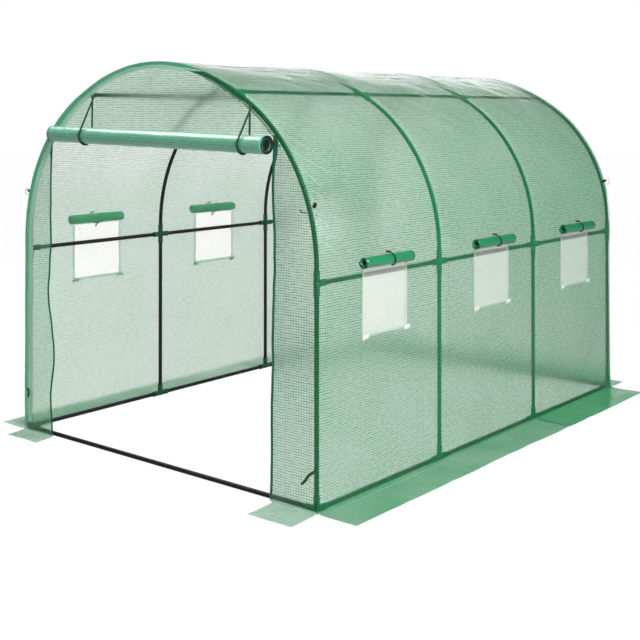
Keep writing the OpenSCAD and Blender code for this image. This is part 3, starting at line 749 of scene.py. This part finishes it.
side_run, end_run = np.linspace(-FACE, FACE, 150), np.linspace(-WALL, WALL, 110)
flap("right_flap", side_run, SIDE_FLAP, lambda a, w: (WALL + w, a), RIGHT_SEED, "right_ground_flap",
     RIGHT_FLAP, True)
flap("left_flap", side_run, SIDE_FLAP, lambda a, w: (-WALL - w, a), 63, "left_ground_flap", SHEET, False)
flap("rear_flap", end_run, END_FLAP, lambda a, w: (a, FACE + w), 65, "rear_ground_flap", FLAP, False)

# %% Lap and fold on the right flap
def on_right_flap(a, w, proud):
    """Points on the right flap at a place along it and a share of its reach, proud of it."""
    return points(WALL + w * SIDE_FLAP, a, flap_rise(a, w, SIDE_FLAP, RIGHT_SEED) + proud)


# Two lengths of flap overlap at the third hoop, and the lap shows as a narrow dark line
LAP_Y, LAP_WIDE = 0.500, 0.012
a, w = spread(np.linspace(0, LAP_WIDE, 4), np.linspace(0.04, 0.985, 40))
a = LAP_Y + a - 0.030 * w
seam = lay("flap_overlap", on_right_flap(a, w, 0.0015), LAP, points(a, w * SIDE_FLAP), flip=True)

# A fold runs beside the wall along the first bay, where the flap was turned out, drawn in pale film as a
# painted highlight
a, across = spread(np.linspace(-1.40, -0.50, 80), np.linspace(-0.5, 0.5, 5))
taper = np.sin(np.linspace(0.04, 0.96, 80) * np.pi)[:, None] ** 0.5
w = 0.13 + 0.012 * hills(a / 0.3, 0.0, 67) + 0.032 * across * taper
fold = on_right_flap(a, w, 0.0012 + 0.0016 * taper * np.cos(across * np.pi))
crease = lay("flap_fold", fold, CREASE_HIGHLIGHT, points(a, w * SIDE_FLAP), flip=True)

# %% Front flaps
LEFT_REACH = 0.65
fronts = []
for side, reach in ((-1, LEFT_REACH * END_FLAP), (1, END_FLAP)):
    a, w = spread(np.linspace(DOOR_HALF, WALL, 20), np.linspace(0, reach, 20))
    lift = 0.006 * np.clip(hills(a / 0.1, w / 0.09, 70 + side), 0, 1) * w / reach
    rise = 0.010 * np.exp(-w / 0.012) + 0.0012 + lift
    fronts.append(lay("front_flap", points(side * a + 0.012 * w / reach, -FACE - w, rise), SHEET,
                      points(a, w), flip=side > 0))
front_flaps = join("front_flaps", fronts)
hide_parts("front_ground_flaps")

# %% [markdown]
# ## Rolls
# The door and the window flaps are rolled up. A roll is a spiral: the angle grows while the radius
# falls by one step a turn, so its length of sheet is the ring's area over that step. The open ends show
# the hollow and the turns, with painted shade over both at the door roll's ends, and slow bumps along
# it make it look rolled by hand.

# %% Spiral
def spiral(length, radius, hollow, step, bumps, seed):
    """Points of a roll along local z, the flat place of each, and the length of sheet in it. The radius
    falls by step each turn, with bumps on it and ends that are pushed in and out."""
    turns = (radius - hollow) / step
    turn = np.linspace(0, turns * 2 * np.pi, int(turns * 36))[:, None]
    along = np.linspace(-length / 2, length / 2, max(24, int(length / 0.014)))[None, :]
    r = radius - step * turn / (2 * np.pi)
    swell = bumps * hills(along / 0.12, turn / 2.5, seed)
    swell = swell + 0.5 * bumps * hills(along / 0.03 + turn / 2, turn / 1.2, seed + 1)
    r = r + swell * np.clip(r / radius, 0, 1) - bumps
    lip = 0.004 * hills(turn / 1.1, 0.5, seed + 2) * np.abs(along / (length / 2)) ** 30
    steps = np.hypot(np.diff(r[:, 0]), r[1:, 0] * np.diff(turn[:, 0]))
    flat = np.cumsum(np.concatenate([[0.0], steps]))
    return r * np.cos(turn), -r * np.sin(turn), along + lip, points(along, flat[:, None]), flat[-1]


def thicken(piece):
    """Gives a sheet its edge, so that the turns of a roll show at its end."""
    solid = piece.modifiers.new("sheet_edge", "SOLIDIFY")
    solid.thickness, solid.offset = 0.0008, -1.0

# %% Rolled-up door
ROLL_R, ROLL_Z, ROLL_LONG, ROLL_SHIFT = 0.044, 1.622, 1.535, 0.026
ROLL_Y = -(END_ROW + 0.0176 + 0.003 + ROLL_R)
SLOPE = np.radians(1.3)


def sloped(x, y, z):
    """Turns places by the slope of the roll about its middle, so that the right end hangs lower."""
    c, s = np.cos(SLOPE), np.sin(SLOPE)
    return points(x * c + z * s, ROLL_Y + y, ROLL_Z + z * c - x * s)


p, q, r, cloth, run = spiral(ROLL_LONG, ROLL_R, 0.028, 0.0022, 0.0012, 81)
door_roll = lay("rolled_up_door", sloped(r + ROLL_SHIFT, p, q), ROLLED, cloth)
thicken(door_roll)
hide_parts("door_roll")
print("door sheet in the roll:", round(run, 2), "m")

# Each end of the roll shows painted shade: a black disc set into the hollow core, in a dark ring over the
# turns seen end on
CORE_R = 0.0265
core_r, core_a = spread([0.0, 0.010, 0.019, CORE_R], np.linspace(0, 2 * np.pi, 32, endpoint=False))
ring_r, ring_a = spread([0.0255, 0.031, 0.037, 0.0425], core_a[0])
cores = []
for end in (-1, 1):
    deep = end * (ROLL_LONG / 2 - 0.006 - 0.004 * np.cos(core_r / CORE_R * np.pi / 2)) + ROLL_SHIFT
    cores.append(lay("core", sloped(deep, core_r * np.cos(core_a), core_r * np.sin(core_a)), BLACK_PLASTIC_AND_CORE_SHADE,
                     round_rows=True, weld=True))
    deep = end * (ROLL_LONG / 2 + 0.0025 - 0.003 * np.cos(ring_r / 0.004 * np.pi)) + ROLL_SHIFT
    cores.append(lay("turns", sloped(deep, ring_r * np.cos(ring_a), ring_r * np.sin(ring_a)), TURNS_SHADE,
                     round_rows=True, flip=end > 0))
core = join("door_roll_core_ends", cores)

# %% Rolled-up window flaps
WINDOW_R, WINDOW_LONG, WINDOW_SHIFT = 0.029, 0.374, {1: -0.022, -1: 0.022}
BAYS = (-BAY, 0.0, BAY)


def window_axis(side):
    """Distance from the middle and height of the axis of a window's roll, which leans on the cover."""
    z = HEAD + WINDOW_R + RISE[side]
    reach = SHOULDER + SKIN + 0.001
    dip = reach - np.sqrt(reach ** 2 - max(0.0, z - SPRING) ** 2)
    return WALL + 0.001 - dip + 0.003 + WINDOW_R, z


for side, label in SIDES:
    rolls = []
    ax, az = window_axis(side)
    for k, bay in enumerate(BAYS):
        p, q, r, cloth, run = spiral(WINDOW_LONG, WINDOW_R, 0.013, 0.0055, 0.0010, 90 + 3 * k + side)
        rolls.append(lay("roll", points(side * (ax - p), bay + WINDOW_SHIFT[side] + r, az + q),
                         WINDOW_FILMS[side], cloth, flip=side < 0))
    roll = join(f"{label}_rolled_flaps", rolls)
    thicken(roll)
    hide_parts(f"{label}_window_rolls")

# %% [markdown]
# ## Door ties and window ties
# Each roll hangs in loops of cord that are sewn to the cover above it. A loop goes down behind the
# roll, under it and up in front, and a knot or a toggle closes it. Both ends are held and the cords are
# taut, so their line is drawn point by point.

# %% Door ties
def loop_round(radius, rise):
    """A cord's line round a roll in its own plane: down the back, round to the front tangent, and up."""
    lean = 2 * np.arctan2(rise, radius)
    a = np.linspace(2 * np.pi, lean, 40)
    arc = radius * np.stack([np.cos(a), np.sin(a)], 1)
    knot = np.array([radius, rise])
    return np.concatenate([[knot, knot * [1, 0.5]], arc, [(arc[-1] + knot) / 2, knot]])


TIE_OUT, TIE_SHIFT, TIE_RISE = 0.562, 0.089, {-1: 0.210, 1: 0.181}
cords = []
for side in (-1, 1):
    line = loop_round(ROLL_R + 0.0040, TIE_RISE[side])
    x = TIE_SHIFT + side * TIE_OUT + 0.008 * np.linspace(-1, 1, len(line))
    cords.append(rope("tie", sloped(x, line[:, 0], line[:, 1]), 0.0050, CORD, (1, 0, 0)))
door_cords = join("door_tie_cords", cords)
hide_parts("door_ties")

# %% Window ties
def round_window_roll(side, a, reach, along):
    """Points round a window's roll: angle 0 faces the cover and a quarter turn is the top."""
    ax, az = window_axis(side)
    return points(side * (ax - reach * np.cos(a)), along, az + reach * np.sin(a))


for side, label in SIDES:
    bits = []
    ax, az = window_axis(side)
    for bay in BAYS:
        # Up from the cover, over the roll, down its front and hooked under it
        a = np.concatenate([np.linspace(0.35, 0.6, 5), np.linspace(0.65, 1.62, 26)]) * np.pi
        reach = WINDOW_R + 0.0022 + 0.010 * np.clip((0.5 - a / np.pi) / 0.15, 0, 1)
        along = bay - 0.012 + 0.030 * np.linspace(0, 1, len(a)) ** 1.5
        bits.append(rope("tie", round_window_roll(side, a, reach, along), 0.0026, BLACK_PLASTIC_AND_CORE_SHADE, (0, 1, 0)))
        if side < 0:
            # The left ties pass between film and roll, each with its tail hanging over the net
            a = np.linspace(2.35, 1.55, 20) * np.pi
            along = bay + 0.045 - 0.016 * np.linspace(0, 1, len(a))
            path = round_window_roll(side, a, WINDOW_R + 0.0018, along)
            tail = path[-1] + np.array([(0.004, -0.010, -0.006), (0.005, -0.022, -0.013)])
            bits.append(rope("tie", np.concatenate([path, tail]), 0.0036, BLACK_PLASTIC_AND_CORE_SHADE, (0.1, 1, 0.2)))
            knot = tail[-1] + np.linspace(-1, 1, 9)[:, None] * [0.0, 0.004, 0.005]
            bits.append(rope("toggle", knot, 0.0055, BLACK_PLASTIC_AND_CORE_SHADE, (1, 0, 0)))
        t = np.linspace(-1, 1, 15)
        body = points(side * (ax - 0.002 + 0.004 * t), bay - 0.014 + 0.010 * t, az + WINDOW_R + 0.0045)
        bits.append(rope("toggle", body, 0.0045, BLACK_PLASTIC_AND_CORE_SHADE, (0, 0, 1)))
    loops = join(f"{label}_toggle_loops", bits)
    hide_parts(f"{label}_window_ties")

# %% [markdown]
# ## Zips, nets and hems
# A zip runs down each edge of the doorway: a narrow tape that follows the slack edge. Each window has
# a pale gauze behind the cut, and a sewn hem with two fastening tabs below it.

# %% Zips
ZIP_WIDE = 0.013
zips = []
for side in (-1, 1):
    z, u = spread(np.linspace(0.012, DOOR_HEAD - 0.004, 220), np.linspace(-0.002, ZIP_WIDE, 6))
    u = u * (1 + 0.9 * np.clip((z - 1.50) / 0.06, 0, 1))
    inner = door_edge(z, side)
    teeth = 0.0022 * np.sin(np.clip(u / ZIP_WIDE, 0, 1) * np.pi) + 0.0006 * np.sin(z / 0.006 * np.pi)
    out = FACE + panel_wave(inner, z, 0.0, side) + 0.0014 + teeth
    zips.append(lay("zip", points(side * (inner + u), -out, z), ZIP, points(u, z), flip=side < 0))
zip_tapes = join("door_zip_tapes", zips)
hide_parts("door_zips")

# %% Window nets and hems
HEM_WIDE, TAB_HALF = 0.014, 0.025


def hem_strip(sill, head):
    """The hem's strip, carried round three sides of a window: points along the edge from corner to
    corner, moved outwards by shares of its width. The outward direction turns at the lower corners."""
    k = np.linspace(0, 3, 91)
    edge = points(np.interp(k, [0, 1, 2, 3], [-WIDE, -WIDE, WIDE, WIDE]),
                  np.interp(k, [0, 1, 2, 3], [head, sill, sill, head]))
    turns = [0, 0.97, 1, 1.03, 1.97, 2, 2.03, 3]
    out = HEM_WIDE * points(np.interp(k, turns, [-1, -1, -1, 0, 0, 1, 1, 1]),
                            np.interp(k, turns, [0, 0, -1, -1, -1, -1, 0, 0]))
    w = np.linspace(-0.2, 1, 5)
    proud = 0.0016 * np.sin(np.clip(w, 0, 1) * np.pi) + 0.0016
    return edge[:, None] + out[:, None] * w[None, :, None], proud[None, :]


for side, label in SIDES:
    nets, hems = [], []
    sill, head = SILL + RISE[side], HEAD + RISE[side]
    for bay in BAYS:
        a, z = spread(np.linspace(-WIDE, WIDE, 24), np.linspace(sill, head, 20))
        belly = -0.002 * np.cos(a / WIDE * np.pi / 2) * np.sin((z - sill) / (head - sill) * np.pi)
        nets.append(lay("net", points(side * (WALL + belly), bay + a, z), NETS[side], points(a, z),
                        flip=side < 0))
        strip, proud = hem_strip(sill, head)
        hems.append(lay("hem", points(side * (WALL + proud), bay + strip[..., 0], strip[..., 1]), HEM,
                        strip, flip=side > 0))
        # A puffed tab at each lower corner, set a little askew
        for end in (-1, 1):
            a, z = spread(np.linspace(-TAB_HALF, TAB_HALF, 10), np.linspace(-0.021, 0.001, 10))
            puff = 0.004 * np.cos(a / TAB_HALF * 1.5) * np.cos((z + 0.010) / 0.011 * 1.5)
            tab = points(side * (WALL + 0.004 + puff), bay + end * WIDE + 0.012 + a,
                         sill - 0.004 + z + 0.12 * a)
            hems.append(lay("tab", tab, TAB, points(a, z), flip=side < 0))
    net = join(f"{label}_window_nets", nets)
    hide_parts(f"{label}_window_screens")
    hem = join(f"{label}_window_hem_tapes", hems)
    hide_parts(f"{label}_window_hems")

# %% [markdown]
# ## Toggles on the end hoops and loose ties
# A black toggle in a pale loop ties the end sheets to the hoops on each side, a little above the side
# rails. A few short tie cords hang loose on the front sheets.

# %% End toggles
# Points of a loop: out from the hoop and up on a toggle that stands off, or out, along the tunnel and up
# on the one that lies flat
STANDING_LOOP = [(0.012, 0.004), (0.022, 0.014), (0.034, 0.012), (0.040, -0.004), (0.032, -0.019),
                 (0.016, -0.019)]
FLAT_LOOP = [(0.000, 1.440, -0.004), (0.004, 1.424, -0.002), (0.007, 1.414, -0.022),
             (0.012, 1.422, -0.046), (0.010, 1.440, -0.038)]


def hoop_side(side, up):
    """Distance from the middle just outside the hoop at a height over the start of its shoulder bend."""
    return side * (LEG_X - SHOULDER + np.sqrt((SHOULDER + SKIN) ** 2 - up ** 2) + 0.008)


t = np.linspace(-1, 1, 13)
bits = []
for side, end in ((-1, -1), (-1, 1), (1, -1), (1, 1)):
    if (side, end) == (1, -1):
        xc, zc = hoop_side(side, 0.280), SPRING + 0.280
        body = points(xc - side * 0.002 * t, end * (1.443 - 0.007 * t), zc + 0.007 * t)
        bits.append(rope("toggle", body, 0.0085, BLACK_PLASTIC_AND_CORE_SHADE, (1, 0, 0)))
        loop = bent([(xc + side * out, end * far, zc + up) for out, far, up in FLAT_LOOP])
        bits.append(rope("loop", loop, 0.0026, LOOP, (1, 0.2, 0.1)))
    else:
        xc, zc = hoop_side(side, 0.258), SPRING + 0.258
        yc = end * (1.468 if side + end < 0 else 1.446)
        body = points(xc + side * (0.004 + 0.011 * t), yc, zc + 0.004 * t)
        bits.append(rope("toggle", body, 0.0075, BLACK_PLASTIC_AND_CORE_SHADE, (0, 1, 0)))
        loop = bent([(xc + side * out, yc, zc + up) for out, up in STANDING_LOOP])
        bits.append(rope("loop", loop, 0.0022, LOOP, (0, 1, 0)))
toggles = join("end_hoop_toggles", bits)
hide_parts("end_toggles")

# %% Loose ties
# Each is its radius, and points across the front, out from the sheet and up
LOOSE_TIES = [
    (0.0065, [(1.036, 0.004, 0.186), (1.006, 0.010, 0.163), (0.990, 0.012, 0.140), (0.969, 0.012, 0.121)]),
    (0.0050, [(-1.018, 0.009, 0.226), (-1.006, 0.013, 0.232), (-0.998, 0.014, 0.214),
              (-1.006, 0.013, 0.188)]),
    (0.0026, [(0.952, 0.006, 1.320), (0.969, 0.010, 1.309), (0.992, 0.006, 1.308)])]
ties = [rope("tie", bent([(x, -FACE - out, z) for x, out, z in line]), radius, CORD, (0.2, 1, 0))
        for radius, line in LOOSE_TIES]
loose = join("loose_tie_cords", ties)

# %% [markdown]
# ## Studio
# A plain white room: the world lights from all round, two large soft lamps add shape from the right and
# from above, and the floor is white to the camera with a trace of shadow.

# %% World
BACKDROP = (-0.51, 0.86, 0.07)
world = bpy.context.scene.world or bpy.data.worlds.new("studio")
bpy.context.scene.world = world
world.use_nodes = True
tree = world.node_tree
ray = node(tree, "LightPath", give=None).outputs
# The eye sees white all round, also through the film. Mirror rays see a dim room with the lit backdrop
# behind the tunnel, so that only sheet seen at a low angle shines: the ridge, creases and tops of rolls
way = node(tree, "TexCoord", give="Generated")
towards = node(tree, "VectorMath", {"operation": "DOT_PRODUCT"}, give=1, i0=way, i1=BACKDROP)
mirror = node(tree, "MapRange", Value=towards, From_Min=0.92, From_Max=0.985, To_Min=0.04, To_Max=1.40)
# A dark skirting at the foot of the backdrop draws the thin dark line along the top of the ridge
level = node(tree, "SeparateXYZ", give=2, i0=way)
level = node(tree, "MapRange", Value=level, From_Min=-0.01, From_Max=0.035, To_Min=0.15, To_Max=1.0)
mirror = node(tree, "Math", MULTIPLY, i0=mirror, i1=level)
seen = node(tree, "Math", MAXIMUM, i0=ray["Is Camera Ray"], i1=ray["Is Transmission Ray"])
power = node(tree, "Mix", MIX_NUMBERS, i0=seen, i2=0.45, i3=1.0)
# A ray blurred through the film counts as glossy too, so only those not transmitted take the mirror
shiny = node(tree, "Math", SUBTRACT_CLAMPED, i0=ray["Is Glossy Ray"], i1=ray["Is Transmission Ray"])
power = node(tree, "Mix", MIX_NUMBERS, i0=shiny, i2=power, i3=mirror)
wire(tree, tree.nodes["Background"], Color=(1, 1, 1, 1), Strength=power)
print("world nodes:", len(tree.nodes))

# %% Lamps
def lamp(name, place, target, size, watts):
    """A square soft lamp that faces a target."""
    data = bpy.data.lights.new(name, "AREA")
    data.shape, data.size, data.energy = "SQUARE", size, watts
    light = bpy.data.objects.new(name, data)
    light.location = place
    light.rotation_euler = (Vector(place) - Vector(target)).to_track_quat("Z", "Y").to_euler()
    bpy.context.scene.collection.objects.link(light)


lamp("soft_lamp_right", (5.0, -2.8, 4.1), (0.3, -0.3, 1), 2.6, 360)
lamp("soft_lamp_top", (-2.8, -1.6, 5.6), (0, -0.8, 1.2), 3.2, 240)
bpy.context.scene.view_settings.view_transform = "Standard"
print("lamps:", len(bpy.data.lights))

# %% Floor
# The tunnel's own shade on the floor: its right and left edge and half its length
SHADE_RIGHT, SHADE_LEFT, SHADE_HALF, LEFT_SHARPNESS = 1.26, 1.22, 1.67, 8.0
material, tree, shader = finish("white_studio_floor")
wire(tree, shader, Base_Color=(0.42, 0.42, 0.42, 1), Roughness=0.9)
ray = node(tree, "LightPath", give=None).outputs
seen = node(tree, "Math", MULTIPLY, i0=ray["Is Camera Ray"], i1=0.93)
# Through the film the floor is white too, but dimmer in the shade, which has a sharp left edge
place = node(tree, "SeparateXYZ", give=None, i0=node(tree, "TexCoord", give="Object")).outputs
right = node(tree, "Math", SUBTRACT, i0=place[0], i1=SHADE_RIGHT)
left = node(tree, "Math", MULTIPLY_ADD, i0=place[0], i1=-LEFT_SHARPNESS, i2=-LEFT_SHARPNESS * SHADE_LEFT)
across = node(tree, "Math", MAXIMUM, i0=right, i1=left)
along = node(tree, "Math", ABSOLUTE, i0=place[1])
along = node(tree, "Math", SUBTRACT, i0=along, i1=SHADE_HALF)
away = node(tree, "Math", MAXIMUM, i0=across, i1=along)
lit = node(tree, "MapRange", Value=away, From_Min=0.0, From_Max=0.5, To_Min=0.31, To_Max=0.93)
seen = node(tree, "Math", MULTIPLY_ADD, i0=ray["Is Transmission Ray"], i1=lit, i2=seen)
# It is a little green there, from the light that comes down through the cover
inside = node(tree, "MapRange", Value=away, From_Min=0.0, From_Max=0.4, To_Min=1.0, To_Max=0.0)
inside = node(tree, "Math", MULTIPLY, i0=inside, i1=ray["Is Transmission Ray"])
tint = node(tree, "Mix", MIX_COLOURS, give=2, i0=inside, i6=(1, 1, 1, 1), i7=(0.72, 1.0, 0.80, 1))
white = node(tree, "Emission", Color=tint, Strength=1.05)
mix = node(tree, "MixShader", i0=seen, i1=shader.outputs[0], i2=white)
tree.links.new(mix, tree.nodes["Material Output"].inputs[0])
FLOOR_HALF, FLOOR_Z = 40, -0.0005
corners = [(x * FLOOR_HALF, y * FLOOR_HALF, FLOOR_Z) for x, y in ((-1, -1), (1, -1), (1, 1), (-1, 1))]
floor_mesh = bpy.data.meshes.new("studio_floor")
floor_mesh.from_pydata(corners, [], [(0, 1, 2, 3)])
floor_mesh.materials.append(material)
floor = bpy.data.objects.new("studio_floor", floor_mesh)
bpy.context.scene.collection.objects.link(floor)
print("floor", 2 * FLOOR_HALF, "m wide")
